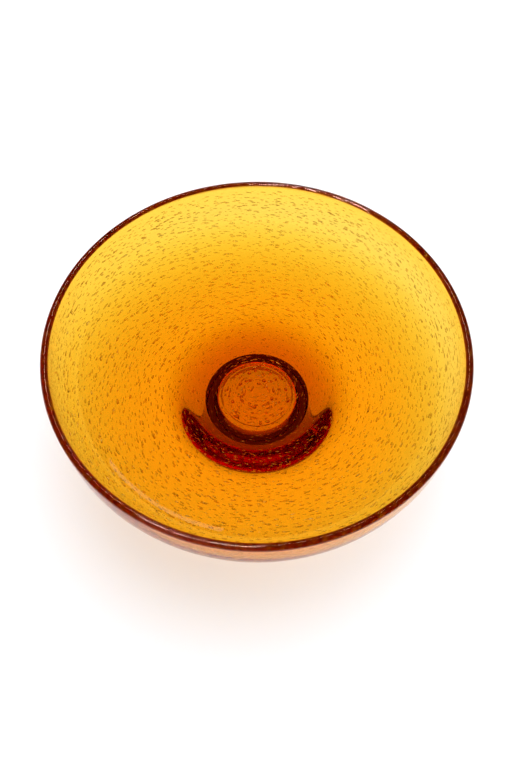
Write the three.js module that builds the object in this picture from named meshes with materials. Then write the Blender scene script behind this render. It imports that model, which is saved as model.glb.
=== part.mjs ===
// Hand-blown amber bubble-glass bowl: a wide deep bowl of two fused gathers with a laid-on lip,
// carried on a tapered pad and a plain ring foot.
// Millimetres, +Z up, base on Z = 0, bowl axis on Z.
import * as THREE from 'three';

// Overall size
const RIM_RADIUS = 150;
const TOTAL_HEIGHT = 112;
const SEGMENTS = 64;

// Bowl wall: each face follows |r|^n + |z|^n = 1, boxier than an ellipse
const OUTER_POWER = 3.2;
const INNER_POWER = 3.5;
const OUTER_DEPTH = 78;
const INNER_DEPTH = 65.5;
const WALL_AT_RIM = 4.8;
const WALL_STEPS = 10;
const FLOOR_STEPS = 5;

// Rounded lip laid on the wall's top edge
const LIP_WIDTH = 5.3;
const LIP_HEIGHT = 4.8;
const LIP_STEPS = 12;

// Pad under the bowl: its flank leaves the wall gently, falls steeply, then eases into the neck
const PAD_RADIUS = 78;
const PAD_EDGE = 0.8;
const NECK_RADIUS = 41.2;
const PAD_BASE_Z = 14;
const FLANK_STEPS = 8;
const FLANK_STEEP_RADIUS = 58.5;
const FLANK_START_DEG = 11;
const FLANK_STEEP_DEG = 40;
const FLANK_END_DEG = 18;

// Hollow in the pad's underside, inside the foot
const HOLLOW_RADIUS = 33;
const HOLLOW_TOP_RADIUS = 31.2;
const HOLLOW_HEIGHT = 7;

// Foot: a ring that stands on a flat edge
const FOOT_OUTER = 40.2;
const FOOT_INNER = 34.2;
const FOOT_EDGE_ROUND = 1.6;

// Space kept between pieces that are fused in the real bowl
const SEAM = 0.3;

const LIP_MIDDLE_Z = TOTAL_HEIGHT - LIP_HEIGHT / 2;

// The faces of the wall: outside, inside, and halfway between them where the two gathers meet
const OUTSIDE = { radius: RIM_RADIUS, depth: OUTER_DEPTH, power: OUTER_POWER };
const INSIDE = { radius: RIM_RADIUS - WALL_AT_RIM, depth: INNER_DEPTH, power: INNER_POWER };

function halfway(gap) {
  return {
    radius: (OUTSIDE.radius + INSIDE.radius) / 2 + gap,
    depth: (OUTSIDE.depth + INSIDE.depth) / 2 + gap,
    power: (OUTSIDE.power + INSIDE.power) / 2,
  };
}

// A point on a wall face, at angle a from the rim (0) to the axis (PI / 2)
function wallPoint(face, a, drop) {
  const r = face.radius * Math.abs(Math.cos(a)) ** (2 / face.power);
  const z = LIP_MIDDLE_Z - drop - face.depth * Math.sin(a) ** (2 / face.power);
  return new THREE.Vector2(r < 1e-6 ? 0 : r, z);
}

// The angle at which a wall face passes a given radius
function angleAtRadius(face, r) {
  return Math.acos((r / face.radius) ** (face.power / 2));
}

// The angle at which a wall face is a given distance below the lip's middle
function angleAtDrop(face, drop) {
  return Math.asin((drop / face.depth) ** (face.power / 2));
}

// Points along a wall face, from angle a0 to a1, both ends included
function wallStretch(face, a0, a1, steps, drop) {
  const points = [];
  for (let i = 0; i <= steps; i += 1) {
    points.push(wallPoint(face, a0 + ((a1 - a0) * i) / steps, drop));
  }
  return points;
}

// A whole wall face from just under the lip to the axis, with a vertex at the pad's edge
function wallFace(face) {
  const top = angleAtDrop(face, LIP_HEIGHT / 2 + SEAM);
  const edge = angleAtRadius(face, PAD_RADIUS * (face.radius / RIM_RADIUS));
  const side = wallStretch(face, top, edge, WALL_STEPS, 0);
  const floor = wallStretch(face, edge, Math.PI / 2, FLOOR_STEPS, 0);
  return side.concat(floor.slice(1));
}

// An arc of an ellipse in the profile plane, both ends included
function arc(cr, cz, rr, rz, fromDeg, toDeg, steps) {
  const points = [];
  for (let i = 0; i <= steps; i += 1) {
    const a = THREE.MathUtils.degToRad(fromDeg + ((toDeg - fromDeg) * i) / steps);
    points.push(new THREE.Vector2(cr + rr * Math.cos(a), cz + rz * Math.sin(a)));
  }
  return points;
}

// Slope of the pad's flank, in degrees, at radius r
function flankSlope(r) {
  if (r > FLANK_STEEP_RADIUS) {
    const t = (PAD_RADIUS - r) / (PAD_RADIUS - FLANK_STEEP_RADIUS);
    return FLANK_START_DEG + (FLANK_STEEP_DEG - FLANK_START_DEG) * Math.sin((Math.PI / 2) * t) ** 1.3;
  }
  const t = (r - NECK_RADIUS) / (FLANK_STEEP_RADIUS - NECK_RADIUS);
  return FLANK_END_DEG + (FLANK_STEEP_DEG - FLANK_END_DEG) * Math.sin((Math.PI / 2) * t);
}

// The flank from the neck up to the pad's edge, shaped by its slope and fitted to its two end heights
function flank(topZ) {
  const step = (PAD_RADIUS - NECK_RADIUS) / FLANK_STEPS;
  const rises = [0];
  for (let i = 0; i < FLANK_STEPS; i += 1) {
    const slope = THREE.MathUtils.degToRad(flankSlope(NECK_RADIUS + (i + 0.5) * step));
    rises.push(rises[i] + step * Math.tan(slope));
  }
  const fit = (topZ - PAD_BASE_Z) / rises[FLANK_STEPS];
  return rises.map((rise, i) => new THREE.Vector2(NECK_RADIUS + i * step, PAD_BASE_Z + fit * rise));
}

// Revolves a profile about the bowl's axis
function turned(name, profile, color, roughness) {
  const geometry = new THREE.LatheGeometry(profile, SEGMENTS);
  geometry.rotateX(Math.PI / 2);
  const material = new THREE.MeshStandardMaterial({ color, roughness, metalness: 0 });
  material.name = name;
  const mesh = new THREE.Mesh(geometry, material);
  mesh.name = name;
  return mesh;
}

// First gather: the lining of the bowl
function innerGather() {
  const outside = wallFace(halfway(-SEAM / 2)).reverse();
  return turned('inner_gather', outside.concat(wallFace(INSIDE)), 0xf0a81c, 0.08);
}

// Second gather: cases the first and makes the outside of the bowl
function outerGather() {
  const outside = wallFace(OUTSIDE).reverse();
  return turned('outer_gather', outside.concat(wallFace(halfway(SEAM / 2))), 0xe08a10, 0.06);
}

// Lip: a thread of darker glass laid on the edge and melted round
function rimLip() {
  const middle = RIM_RADIUS - LIP_WIDTH / 2;
  const ring = arc(middle, LIP_MIDDLE_Z, LIP_WIDTH / 2, LIP_HEIGHT / 2, -90, 270, LIP_STEPS);
  ring[LIP_STEPS].copy(ring[0]);
  return turned('rim_lip', ring, 0x5c1e06, 0.05);
}

// Pad: the gather under the bowl that carries the foot, hollowed where the iron was cracked off
function basePad() {
  const edge = angleAtRadius(OUTSIDE, PAD_RADIUS);
  const top = wallStretch(OUTSIDE, edge, Math.PI / 2, FLOOR_STEPS, SEAM);
  const hollow = [
    new THREE.Vector2(0, PAD_BASE_Z + HOLLOW_HEIGHT),
    new THREE.Vector2(HOLLOW_TOP_RADIUS, PAD_BASE_Z + HOLLOW_HEIGHT),
    new THREE.Vector2(HOLLOW_RADIUS, PAD_BASE_Z),
  ];
  return turned('base_pad', hollow.concat(flank(top[0].y - PAD_EDGE), top), 0xc8640c, 0.06);
}

// Foot: an upright ring, a little narrower at the edge it stands on
function foot() {
  const topZ = PAD_BASE_Z - SEAM;
  const round = FOOT_EDGE_ROUND;
  const innerCorner = arc(FOOT_INNER + round, round, round, round, 180, 270, 3);
  const outerCorner = arc(FOOT_OUTER - round, round, round, round, -90, 0, 3);
  const top = [new THREE.Vector2(NECK_RADIUS, topZ), new THREE.Vector2(HOLLOW_RADIUS, topZ)];
  const ring = innerCorner.concat(outerCorner, top);
  ring.push(ring[0].clone());
  return turned('foot', ring, 0xb4500a, 0.05);
}

const bowl = new THREE.Group();
bowl.name = 'art_glass_bowl';
bowl.add(innerGather(), outerGather(), rimLip(), basePad(), foot());

export default bowl;
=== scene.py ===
"""Hand-blown amber bubble-glass bowl on a tapered pad and a ring foot, on a pale table."""
import math

import bpy
import numpy as np
from mathutils import Matrix, Vector


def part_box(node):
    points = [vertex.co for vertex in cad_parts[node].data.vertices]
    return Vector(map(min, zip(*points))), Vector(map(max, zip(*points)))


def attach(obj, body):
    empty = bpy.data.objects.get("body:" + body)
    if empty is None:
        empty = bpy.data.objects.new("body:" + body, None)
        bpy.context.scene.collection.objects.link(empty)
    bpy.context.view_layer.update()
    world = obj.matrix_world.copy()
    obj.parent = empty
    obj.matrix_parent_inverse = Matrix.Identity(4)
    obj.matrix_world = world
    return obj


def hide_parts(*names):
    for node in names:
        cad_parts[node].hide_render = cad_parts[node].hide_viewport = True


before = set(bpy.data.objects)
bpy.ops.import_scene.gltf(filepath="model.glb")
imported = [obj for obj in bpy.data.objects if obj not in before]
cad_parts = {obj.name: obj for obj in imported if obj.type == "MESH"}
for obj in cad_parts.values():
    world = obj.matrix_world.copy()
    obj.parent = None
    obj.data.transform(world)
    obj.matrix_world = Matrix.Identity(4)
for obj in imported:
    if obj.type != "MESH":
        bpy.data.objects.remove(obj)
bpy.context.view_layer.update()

MM = 0.001

# ---------------------------------------------------------------- sizes read from the frame
LIP_LOW, LIP_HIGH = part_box("rim_lip")
WALL_LOW, WALL_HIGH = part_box("outer_gather")
PAD_LOW, PAD_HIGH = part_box("base_pad")
FOOT_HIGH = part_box("foot")[1]

RIM_RADIUS = WALL_HIGH[0]
TOP_Z = LIP_HIGH[2]
RIM_Z = (LIP_LOW[2] + LIP_HIGH[2]) / 2
OUTER_DEPTH = RIM_Z - WALL_LOW[2]
PAD_RADIUS = PAD_HIGH[0]
PAD_BASE_Z = PAD_LOW[2]
NECK_RADIUS = FOOT_HIGH[0]

# ---------------------------------------------------------------- sizes that the boxes don't give
OUTER_EXPONENT = 3.2
INNER_EXPONENT = 3.5
INNER_DEPTH = 65.5 * MM
WALL_AT_RIM = 4.8 * MM
INNER_RADIUS = RIM_RADIUS - WALL_AT_RIM
LIP_WIDTH = 5.3 * MM

FLANK_STEEP_RADIUS = 0.75 * PAD_RADIUS
FLANK_START, FLANK_STEEP, FLANK_END = (math.radians(d) for d in (11, 40, 18))
HOLLOW_RADIUS = 33 * MM
HOLLOW_TOP_RADIUS = 31.2 * MM
HOLLOW_HEIGHT = 7 * MM
HOLLOW_ROUND = 1.2 * MM
FOOT_OUTER = 40.2 * MM
FOOT_INNER = 34.2 * MM
FOOT_ROUND = 1.6 * MM

# How much fused pieces overlap, and how far the lip's straight sides go below its middle
FUSE = 0.02 * MM
LIP_SKIRT = 0.6 * MM

# Points round each turned piece
TURNS = 256

# Hand work: the lining's shift to one side, and how far the rim is out of round and out of level
UNEVEN_WALL = (0.9 * MM, 0.2 * MM)
OUT_OF_ROUND = 0.0008
OUT_OF_LEVEL = 0.001

# Turning ripples under the pad, and the one sharp ring near their edge
RIPPLE_PITCH = 6.2 * MM
RIPPLE_REACH = 20 * MM
RIPPLE_HEIGHT = 0.25 * MM
RING_RADIUS = 27.4 * MM
RING_WIDTH = 0.6 * MM
RING_HEIGHT = 0.6 * MM

# ---------------------------------------------------------------- seeds
# One seed to a cell of pitch by across; size is half its length, plump its width over its length
WALL_SEEDS = {"pitch": 3.6 * MM, "across": 6.9 * MM, "size": 1.4 * MM, "plump": (0.18, 0.3), "tilt": 0.1}
PAD_SEEDS = {"pitch": 6.5 * MM, "across": 13 * MM, "size": 1.05 * MM, "plump": (0.4, 0.8), "tilt": -0.15}
DISC_SEEDS = {"pitch": 5 * MM, "across": 8 * MM, "size": 1.1 * MM, "plump": (0.6, 0.95), "tilt": 0}
SEED_SPREAD = 0.32
SEED_HALF_LENGTHS = (0.5 * MM, 2.7 * MM)
SEED_HALF_WIDTHS = (0.24 * MM, 1.2 * MM)
SEED_DEPTHS = (0.22, 0.78)
SEED_FLATNESS = 0.8
SEED_LEAN_SPREAD = 0.09
# Seeds are smaller over the foot and the flank: growth at shares of the rim's radius
SEED_GROWTH_AT = (0.19, 0.24, 0.3, 0.5)
SEED_GROWTH = (1.05, 0.66, 0.7, 1.0)

# ---------------------------------------------------------------- glass
GLASS_INDEX = 1.5
# Light lost per metre in red, green and blue
BOWL_LOSS = (7, 69, 420)
LIP_LOSS = (110, 150, 450)
PAD_LOSS = (13, 47, 350)
FOOT_LOSS = (110, 230, 650)

# ---------------------------------------------------------------- light and table
CONTRAST = 0.87
SKY_LOW, SKY_HIGH = 0.92, 1.1
KEY_FROM = (0.35, 0.65, 0.7)
KEY_STRENGTH = 1.6
PANEL_DISTANCE = 1.2
TABLE_HALF = 30.0
# Painted light: the table glows of its own, strong inside the core radius and weak beyond the edge radius,
# which lifts the shade under the bowl
PAINTED_GLOW_CORE = 0.055
PAINTED_GLOW_EDGE = 0.155
PAINTED_GLOW_UNDER = 0.56
PAINTED_GLOW_OPEN = 0.18


# ---------------------------------------------------------------- shape
def wall_curve(radius, depth, exponent, r_from, r_to, count):
    """Points (r, z) on a wall face between two radii, evenly spread in angle."""
    a0, a1 = (math.acos(min(1.0, r / radius) ** (exponent / 2)) for r in (r_from, r_to))
    a = np.linspace(a0, a1, count)
    r = radius * np.abs(np.cos(a)) ** (2 / exponent)
    z = RIM_Z - depth * np.abs(np.sin(a)) ** (2 / exponent)
    return np.column_stack([r, z])


def outer_face(r_from, r_to, count):
    """The outside of the bowl between two radii."""
    return wall_curve(RIM_RADIUS, OUTER_DEPTH, OUTER_EXPONENT, r_from, r_to, count)


def inner_face(r_from, r_to, count):
    """The inside of the bowl between two radii."""
    return wall_curve(INNER_RADIUS, INNER_DEPTH, INNER_EXPONENT, r_from, r_to, count)


def flank_curve(count):
    """The pad's flank from the neck up to the wall: its slope grows to a steepest ring, then eases."""
    r = np.linspace(NECK_RADIUS, PAD_RADIUS, count)
    mid = (r[1:] + r[:-1]) / 2
    above = (PAD_RADIUS - mid) / (PAD_RADIUS - FLANK_STEEP_RADIUS)
    below = (mid - NECK_RADIUS) / (FLANK_STEEP_RADIUS - NECK_RADIUS)
    rising = FLANK_START + (FLANK_STEEP - FLANK_START) * np.sin(np.pi / 2 * np.clip(above, 0, 1)) ** 1.3
    easing = FLANK_END + (FLANK_STEEP - FLANK_END) * np.sin(np.pi / 2 * np.clip(below, 0, 1))
    slope = np.where(mid > FLANK_STEEP_RADIUS, rising, easing)
    rise = np.concatenate([[0], np.cumsum(np.diff(r) * np.tan(slope))])
    top = outer_face(PAD_RADIUS, PAD_RADIUS, 1)[0, 1]
    return np.column_stack([r, PAD_BASE_Z + rise * (top - PAD_BASE_Z) / rise[-1]])


def arc(cr, cz, rr, rz, start, end, count):
    """Points on an ellipse in the profile plane, angles in degrees."""
    a = np.radians(np.linspace(start, end, count))
    return np.column_stack([cr + rr * np.cos(a), cz + rz * np.sin(a)])


def hand_made(points):
    """The slight unevenness of hand work, the same for every piece so that they stay fused."""
    x, y, z = points.T
    turn = np.arctan2(y, x)
    # 0 on the outside, 1 on the lining and within it, and easing to 0 at the rim
    drop = np.abs(RIM_Z - z) / OUTER_DEPTH
    share = (np.hypot(x, y) / RIM_RADIUS) ** OUTER_EXPONENT + drop ** OUTER_EXPONENT
    lining = np.clip((1 - share ** (1 / OUTER_EXPONENT)) / (WALL_AT_RIM / RIM_RADIUS), 0, 1)
    lining *= np.clip(2 * drop, 0, 1)
    x = x + UNEVEN_WALL[0] * lining
    y = y + UNEVEN_WALL[1] * lining
    # The rim only ever moves inwards and down, so the bowl stays inside its box
    high = np.clip(z / TOP_Z, 0, 1) ** 2
    round_off = 1 - high * OUT_OF_ROUND * (2 + np.sin(2 * turn + 0.7) + np.sin(3 * turn + 2.1))
    level = 1 - high * OUT_OF_LEVEL * (2 + np.sin(turn + 1.2) + np.sin(4 * turn + 0.3))
    return np.column_stack([x * round_off, y * round_off, z * level])


def mesh_object(name, points, faces, smooth=True):
    """An object from points and faces, linked to the scene."""
    mesh = bpy.data.meshes.new(name)
    mesh.from_pydata(points.tolist(), [], faces)
    mesh.polygons.foreach_set("use_smooth", [smooth] * len(mesh.polygons))
    mesh.update()
    mesh.set_sharp_from_angle(angle=math.radians(50))
    obj = bpy.data.objects.new(name, mesh)
    bpy.context.scene.collection.objects.link(obj)
    return obj


def skin(points, fused=False):
    """Profile points marked as bare glass, or as fused where another piece of glass is melted on."""
    return np.column_stack([points, np.full(len(points), float(fused))])


def turned(name, profile, closed):
    """Revolves a marked profile into one closed piece, whose faces keep the mark as "fused"."""
    turn = np.linspace(0, 2 * np.pi, TURNS, endpoint=False)
    points, rows = [], []
    for r, z, _ in profile:
        if r < 1e-7:
            rows.append([len(points)] * TURNS)
            points.append((0, 0, z))
        else:
            rows.append(list(range(len(points), len(points) + TURNS)))
            points.extend(zip(r * np.cos(turn), r * np.sin(turn), [z] * TURNS))
    marks = profile[:, 2]
    steps = list(zip(range(len(rows)), range(1, len(rows)))) + ([(len(rows) - 1, 0)] if closed else [])
    faces, fused = [], []
    for a, b in steps:
        low, high = rows[a], rows[b]
        for i in range(TURNS):
            j = (i + 1) % TURNS
            faces.append(tuple(dict.fromkeys((low[i], low[j], high[j], high[i]))))
            fused.append(min(marks[a], marks[b]))
    obj = mesh_object(name, hand_made(np.array(points)), faces)
    obj.data.attributes.new("fused", "FLOAT", "FACE").data.foreach_set("value", fused)
    return obj


def bowl_wall():
    """Both gathers as one clear wall, with no seam to see."""
    under = outer_face(PAD_RADIUS, 0, 60)[::-1]
    side = outer_face(RIM_RADIUS, PAD_RADIUS, 110)[::-1]
    inside = inner_face(INNER_RADIUS, 0, 150)
    side[-1, 1] = inside[0, 1] = RIM_Z - LIP_SKIRT + FUSE
    marked = [skin(under, True), skin(side[1:-1]), skin(side[-1:], True)]
    marked += [skin(inside[:1], True), skin(inside[1:])]
    return turned("bowl_wall", np.vstack(marked), False)


def lip():
    """The thread laid on the edge: a round top on a short straight side, fused to the wall."""
    middle = RIM_RADIUS - LIP_WIDTH / 2
    base = RIM_Z - LIP_SKIRT
    top = arc(middle, RIM_Z, LIP_WIDTH / 2, TOP_Z - RIM_Z, 0, 180, 25)
    joint = np.array([[INNER_RADIUS, base], [RIM_RADIUS, base]])
    return turned("lip", np.vstack([skin(joint, True), skin(top)]), True)


def ripples(r):
    """Faint rings left by the turning of the soft glass under the pad."""
    fade = np.exp(-(r / RIPPLE_REACH) ** 2)
    ring = np.exp(-((r - RING_RADIUS) / RING_WIDTH) ** 2)
    return RIPPLE_HEIGHT * fade * np.cos(2 * np.pi * r / RIPPLE_PITCH) + RING_HEIGHT * ring


def pad():
    """The gather under the bowl: flank outside, rippled hollow underneath, fused into the floor."""
    top = outer_face(PAD_RADIUS, 0, 60)[1:]
    top[:, 1] += FUSE
    ceiling_z = PAD_BASE_Z + HOLLOW_HEIGHT
    r = np.linspace(0, HOLLOW_TOP_RADIUS - HOLLOW_ROUND, 70)
    ceiling = np.column_stack([r, ceiling_z + ripples(r)])
    corner = arc(r[-1], ceiling_z - HOLLOW_ROUND, HOLLOW_ROUND, HOLLOW_ROUND, 90, 10, 6)[1:]
    base = np.array([[HOLLOW_RADIUS, PAD_BASE_Z]])
    flank = flank_curve(70)
    marked = [skin(ceiling), skin(corner), skin(base, True), skin(flank[:1], True), skin(flank[1:-1])]
    marked += [skin(flank[-1:], True), skin(top, True)]
    return turned("pad", np.vstack(marked), False)


def foot():
    """The ring foot, fused into the pad's underside."""
    inner = arc(FOOT_INNER + FOOT_ROUND, FOOT_ROUND, FOOT_ROUND, FOOT_ROUND, 180, 270, 8)
    outer = arc(FOOT_OUTER - FOOT_ROUND, FOOT_ROUND, FOOT_ROUND, FOOT_ROUND, -90, 0, 8)
    top = np.array([[NECK_RADIUS, PAD_BASE_Z + FUSE], [HOLLOW_RADIUS, PAD_BASE_Z + FUSE]])
    return turned("foot_ring", np.vstack([skin(inner), skin(outer), skin(top, True)]), True)


# ---------------------------------------------------------------- seeds (trapped bubbles)
def seed_template():
    """A small closed ball whose faces look inwards, into the void."""
    rings, around = 4, 6
    points = [(0, 0, 1)]
    for i in range(1, rings):
        lat = math.pi * i / rings
        for k in range(around):
            lon = 2 * math.pi * k / around
            points.append((math.sin(lat) * math.cos(lon), math.sin(lat) * math.sin(lon), math.cos(lat)))
    points.append((0, 0, -1))
    faces = [(0, 1 + (k + 1) % around, 1 + k) for k in range(around)]
    for i in range(rings - 2):
        low, high = 1 + i * around, 1 + (i + 1) * around
        for k in range(around):
            j = (k + 1) % around
            faces.append((low + k, low + j, high + j, high + k))
    last = 1 + (rings - 2) * around
    faces += [(last + k, last + (k + 1) % around, len(points) - 1) for k in range(around)]
    return np.array(points), faces


def seed_size(rng, r, size, plump):
    """Half the length and half the width of one seed, r from the axis."""
    growth = np.interp(r / RIM_RADIUS, SEED_GROWTH_AT, SEED_GROWTH)
    half = np.clip(size * rng.lognormal(0, SEED_SPREAD), *SEED_HALF_LENGTHS) * growth
    thin = np.clip(half * rng.uniform(*plump), *SEED_HALF_WIDTHS) * growth
    return half, thin


def seed_axes(rng, turn, nr, nz, tilt):
    """The directions along a seed, across it and through the glass."""
    around = np.array([-math.sin(turn), math.cos(turn), 0])
    out = np.array([nr * math.cos(turn), nr * math.sin(turn), nz])
    out /= np.linalg.norm(out)
    lean = tilt + rng.normal(0, SEED_LEAN_SPREAD)
    axis = around * math.cos(lean) + np.cross(out, around) * math.sin(lean)
    return axis, np.cross(axis, out), out


def seeds(name, profile, through, seed, pitch, across, size, plump, tilt):
    """Seeds in the glass between a turned face and the face that lies through from it."""
    rng = np.random.default_rng(seed)
    ball, ball_faces = seed_template()
    step = np.hypot(*np.diff(profile, axis=0).T)
    length = np.concatenate([[0], np.cumsum(step)])
    points, faces = [], []
    for row in range(int(length[-1] / pitch)):
        s_row = (row + 0.5) * pitch
        r_row = np.interp(s_row, length, profile[:, 0])
        count = max(1, int(2 * np.pi * r_row / across))
        for k in range(count):
            s = s_row + rng.uniform(-0.5, 0.5) * pitch
            turn = 2 * np.pi * (k + rng.uniform(0, 1)) / count
            r, z, nr, nz = (np.interp(s, length, c) for c in (*profile.T, *through.T))
            depth = rng.uniform(*SEED_DEPTHS)
            r, z = r + nr * depth, z + nz * depth
            half, thin = seed_size(rng, r, size, plump)
            axis, side, out = seed_axes(rng, turn, nr, nz, tilt)
            ball_long = ball[:, 2:3] * half * axis
            ball_round = ball[:, 0:1] * thin * side + ball[:, 1:2] * thin * SEED_FLATNESS * out
            centre = np.array([r * math.cos(turn), r * math.sin(turn), z])
            base = len(points) * len(ball)
            points.append(ball_long + ball_round + centre)
            faces.extend(tuple(base + v for v in f) for f in ball_faces)
    return mesh_object(name, hand_made(np.vstack(points)), faces)


def wall_seeds(name, inner_share, outer_share, seed):
    """Drawn-out seeds between two depths of the bowl wall, as shares of the way from inside to outside."""
    inner = inner_face(INNER_RADIUS * 0.9999, 2 * MM, 220)
    outer = outer_face(RIM_RADIUS * 0.9999, 2 * MM, 220)
    wall = outer - inner
    return seeds(name, inner + wall * inner_share, wall * (outer_share - inner_share), seed, **WALL_SEEDS)


def pad_seeds():
    """Rounder, sparser seeds in the pad."""
    upper = outer_face(PAD_RADIUS * 0.86, 3 * MM, 60)
    flank = flank_curve(200)
    low = np.where(upper[:, 0] > NECK_RADIUS, np.interp(upper[:, 0], *flank.T), PAD_BASE_Z + HOLLOW_HEIGHT)
    down = np.column_stack([np.zeros(len(low)), low - upper[:, 1]])
    return seeds("seeds_pad", upper, down, 41, **PAD_SEEDS)


def disc_seeds():
    """A crowd of round seeds low in the middle of the pad, over the hollow."""
    r = np.linspace(HOLLOW_TOP_RADIUS * 0.85, 2 * MM, 40)
    low = np.column_stack([r, np.full(len(r), PAD_BASE_Z + HOLLOW_HEIGHT + 2 * MM)])
    up = np.column_stack([np.zeros(len(r)), np.full(len(r), 5 * MM)])
    return seeds("seeds_disc", low, up, 57, **DISC_SEEDS)


# ---------------------------------------------------------------- materials
def node(tree, kind, **values):
    """A shader node with some of its sockets or settings given."""
    made = tree.nodes.new(kind)
    for key, value in values.items():
        if key in made.inputs:
            made.inputs[key].default_value = value
        else:
            setattr(made, key, value)
    return made


def ramp(tree, start, end, low, high, **settings):
    """A node that takes start..end to low..high."""
    made = node(tree, "ShaderNodeMapRange", **settings)
    for socket, value in (("From Min", start), ("From Max", end), ("To Min", low), ("To Max", high)):
        made.inputs[socket].default_value = value
    return made


def mottle(tree, grain, first, second):
    """A colour that drifts between two as the grain does."""
    tint = node(tree, "ShaderNodeMix", data_type="RGBA")
    tint.inputs["A"].default_value = first
    tint.inputs["B"].default_value = second
    tree.links.new(grain.outputs["Fac"], tint.inputs["Factor"])
    return tint.outputs["Result"]


def new_material(name):
    """A new material with its node tree and its surface node."""
    material = bpy.data.materials.new(name)
    material.use_nodes = True
    return material, material.node_tree, material.node_tree.nodes["Principled BSDF"]


def glass(name, lost, deep_tint=(1.0, 0.99, 0.97, 1.0)):
    """Clear coloured glass: lost is the light lost per metre in red, green and blue."""
    material, tree, surface = new_material(name)
    surface.inputs["Transmission Weight"].default_value = 1.0
    surface.inputs["IOR"].default_value = GLASS_INDEX
    link = tree.links.new
    coords = node(tree, "ShaderNodeTexCoord").outputs["Object"]
    cloud = node(tree, "ShaderNodeTexNoise", Scale=45.0, Detail=3.0)
    polish = ramp(tree, 0.0, 1.0, 0.0, 0.02)
    link(coords, cloud.inputs["Vector"])
    link(cloud.outputs["Fac"], polish.inputs["Value"])
    link(polish.outputs["Result"], surface.inputs["Roughness"])
    link(mottle(tree, cloud, (1.0, 1.0, 1.0, 1.0), deep_tint), surface.inputs["Base Color"])
    waves = node(tree, "ShaderNodeTexNoise", Scale=70.0, Detail=2.0)
    bump = node(tree, "ShaderNodeBump", Strength=0.1, Distance=0.35 * MM)
    link(coords, waves.inputs["Vector"])
    link(waves.outputs["Fac"], bump.inputs["Height"])
    link(bump.outputs["Normal"], surface.inputs["Normal"])
    unbend_joints(tree, surface)
    colour_body(tree, lost)
    return material


def unbend_joints(tree, surface):
    """Where a face is fused to another piece, light goes straight on."""
    joint = node(tree, "ShaderNodeAttribute", attribute_name="fused")
    bend = ramp(tree, 0.0, 1.0, GLASS_INDEX, 1.0)
    tree.links.new(joint.outputs["Fac"], bend.inputs["Value"])
    tree.links.new(bend.outputs["Result"], surface.inputs["IOR"])


def colour_body(tree, lost):
    """The colour that the glass has in its depth."""
    body = node(tree, "ShaderNodeVolumeAbsorption")
    most = max(lost)
    body.inputs["Density"].default_value = most
    body.inputs["Color"].default_value = (*(1 - k / most for k in lost), 1.0)
    tree.links.new(body.outputs["Volume"], tree.nodes["Material Output"].inputs["Volume"])


def seed_skin():
    """The inside of a bubble: bare glass surface with no colour of its own."""
    material, tree, surface = new_material("seed_skin")
    surface.inputs["Transmission Weight"].default_value = 1.0
    surface.inputs["IOR"].default_value = GLASS_INDEX
    speck = node(tree, "ShaderNodeTexNoise", Scale=400.0)
    polish = ramp(tree, 0.0, 1.0, 0.0, 0.04)
    tree.links.new(speck.outputs["Fac"], polish.inputs["Value"])
    tree.links.new(polish.outputs["Result"], surface.inputs["Roughness"])
    return material


def table_top():
    """Smooth white board with painted light: it glows of its own, most close to the foot, which lifts the
    shade under the bowl.
    """
    material, tree, surface = new_material("table_top")
    surface.inputs["Roughness"].default_value = 0.9
    surface.inputs["Specular IOR Level"].default_value = 0.1
    surface.inputs["Emission Color"].default_value = (1.0, 1.0, 1.0, 1.0)
    coords = node(tree, "ShaderNodeTexCoord")
    away = node(tree, "ShaderNodeVectorMath", operation="LENGTH")
    # Painted light: the table's emission is strongest near the foot, where the bowl's shade falls, and weak
    # in the open
    painted_glow = ramp(tree, PAINTED_GLOW_CORE, PAINTED_GLOW_EDGE, PAINTED_GLOW_UNDER, PAINTED_GLOW_OPEN, interpolation_type="SMOOTHSTEP")
    grain = node(tree, "ShaderNodeTexNoise", Scale=3.0)
    link = tree.links.new
    link(coords.outputs["Object"], away.inputs[0])
    link(away.outputs["Value"], painted_glow.inputs["Value"])
    link(painted_glow.outputs["Result"], surface.inputs["Emission Strength"])
    cool_white = mottle(tree, grain, (0.62, 0.63, 0.68, 1.0), (0.635, 0.645, 0.69, 1.0))
    link(cool_white, surface.inputs["Base Color"])
    return material


# ---------------------------------------------------------------- stage, light and camera
def table():
    """A plain pale floor just under the foot."""
    corners = ((-1, -1), (1, -1), (1, 1), (-1, 1))
    points = np.array([(x * TABLE_HALF, y * TABLE_HALF, -0.2 * MM) for x, y in corners])
    floor = mesh_object("table", points, [(0, 1, 2, 3)], smooth=False)
    floor.data.materials.append(table_top())


def sky():
    """Soft white light from all round, stronger overhead and towards the key, not mirrored in the glass."""
    world = bpy.data.worlds.new("soft_white")
    bpy.context.scene.world = world
    world.use_nodes = True
    world.cycles_visibility.glossy = False
    tree = world.node_tree
    background = tree.nodes["Background"]
    background.inputs["Color"].default_value = (1.0, 1.0, 1.0, 1.0)
    coords = node(tree, "ShaderNodeTexCoord").outputs["Generated"]
    split = node(tree, "ShaderNodeSeparateXYZ")
    fade = ramp(tree, 0.1, 0.4, SKY_LOW, SKY_HIGH, interpolation_type="SMOOTHSTEP")
    facing = node(tree, "ShaderNodeVectorMath", operation="DOT_PRODUCT")
    facing.inputs[1].default_value = Vector(KEY_FROM).normalized()
    key = ramp(tree, 0.3, 1.0, 0.0, KEY_STRENGTH, interpolation_type="SMOOTHSTEP")
    both = node(tree, "ShaderNodeMath", operation="ADD")
    link = tree.links.new
    link(coords, split.inputs[0])
    link(coords, facing.inputs[0])
    link(split.outputs["Z"], fade.inputs["Value"])
    link(facing.outputs["Value"], key.inputs["Value"])
    link(fade.outputs["Result"], both.inputs[0])
    link(key.outputs["Result"], both.inputs[1])
    link(both.outputs["Value"], background.inputs["Strength"])


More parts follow.
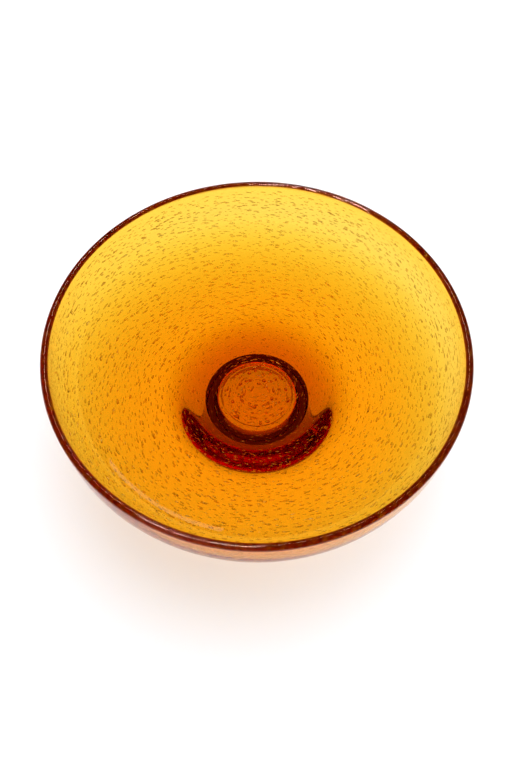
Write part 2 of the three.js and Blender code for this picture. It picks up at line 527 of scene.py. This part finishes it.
def panel(name, towards, wide, high, radiance, only=None):
    """A pale panel that only shows as a highlight in the glass, or in one piece of it."""
    light = bpy.data.lights.new(name, "AREA")
    light.shape = "RECTANGLE"
    light.size = wide
    light.size_y = high
    light.energy = radiance * math.pi * wide * high
    obj = bpy.data.objects.new(name, light)
    bpy.context.scene.collection.objects.link(obj)
    direction = Vector(towards).normalized()
    obj.location = direction * PANEL_DISTANCE
    obj.rotation_euler = direction.to_track_quat("Z", "Y").to_euler()
    obj.visible_diffuse = False
    obj.visible_transmission = False
    obj.visible_volume_scatter = False
    if only:
        obj.light_linking.receiver_collection = bpy.data.collections.new(name)
        obj.light_linking.receiver_collection.objects.link(only)


def camera():
    """A 35 mm lens, looking down at the bowl from the front."""
    elevation = 1.0570
    roll = 0.00295
    distance = 3.4712 * RIM_RADIUS
    aside = 0.0045 * RIM_RADIUS
    above = 0.2004 * RIM_RADIUS
    forward = Vector((0, math.cos(elevation), -math.sin(elevation)))
    right = Vector((1, 0, 0))
    up = Vector((0, math.sin(elevation), math.cos(elevation)))
    stand = Matrix((right, up, -forward)).transposed().to_4x4()
    stand.translation = Vector((0, 0, RIM_Z)) - forward * distance - right * aside - up * above
    lens = bpy.data.cameras.new("camera")
    lens.sensor_width = 36
    lens.lens = 35.02
    lens.clip_start = 0.01
    obj = bpy.data.objects.new("camera", lens)
    obj.matrix_world = stand @ Matrix.Rotation(-roll, 4, "Z")
    bpy.context.scene.collection.objects.link(obj)
    bpy.context.scene.camera = obj


def glass_paths():
    """The contrast, and enough bounces for light that runs a long way inside the glass."""
    scene = bpy.context.scene
    scene.view_settings.view_transform = "Standard"
    scene.view_settings.gamma = CONTRAST
    scene.cycles.max_bounces = 40
    scene.cycles.transmission_bounces = 40
    scene.cycles.glossy_bounces = 24


# ---------------------------------------------------------------- the bowl
def place(obj, material, slot, *nodes):
    """Gives a piece its material and its place in the frame."""
    obj.data.materials.append(material)
    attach(obj, "root")
    if nodes:
        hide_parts(*nodes)
    return obj


def build():
    """Every piece of the bowl, and the panels that show only in its lip."""
    amber = glass("bowl_glass", BOWL_LOSS)
    edge = glass("lip_glass", LIP_LOSS)
    gathered = glass("pad_glass", PAD_LOSS)
    dense = glass("foot_glass", FOOT_LOSS, (1.0, 0.98, 0.95, 1.0))
    bubble = seed_skin()
    place(bowl_wall(), amber, "outer_gather", "inner_gather", "outer_gather")
    thread = place(lip(), edge, "rim_lip", "rim_lip")
    panel("lip_glint", (-0.13, 0.03, 0.98), wide=0.13, high=0.36, radiance=45, only=thread)
    panel("lip_gleam", (-0.03, 0.47, 0.87), wide=0.24, high=0.14, radiance=7, only=thread)
    place(pad(), gathered, "base_pad", "base_pad")
    place(foot(), dense, "foot", "foot")
    place(wall_seeds("seeds_lining", 0.0, 0.5, 11), bubble, "inner_gather")
    place(wall_seeds("seeds_casing", 0.5, 1.0, 23), bubble, "outer_gather")
    place(pad_seeds(), bubble, "base_pad")
    place(disc_seeds(), bubble, "base_pad")


table()
sky()
panel("back_panel", (0.24, 0.87, 0.4), wide=0.42, high=0.14, radiance=1.3)
camera()
glass_paths()
build()
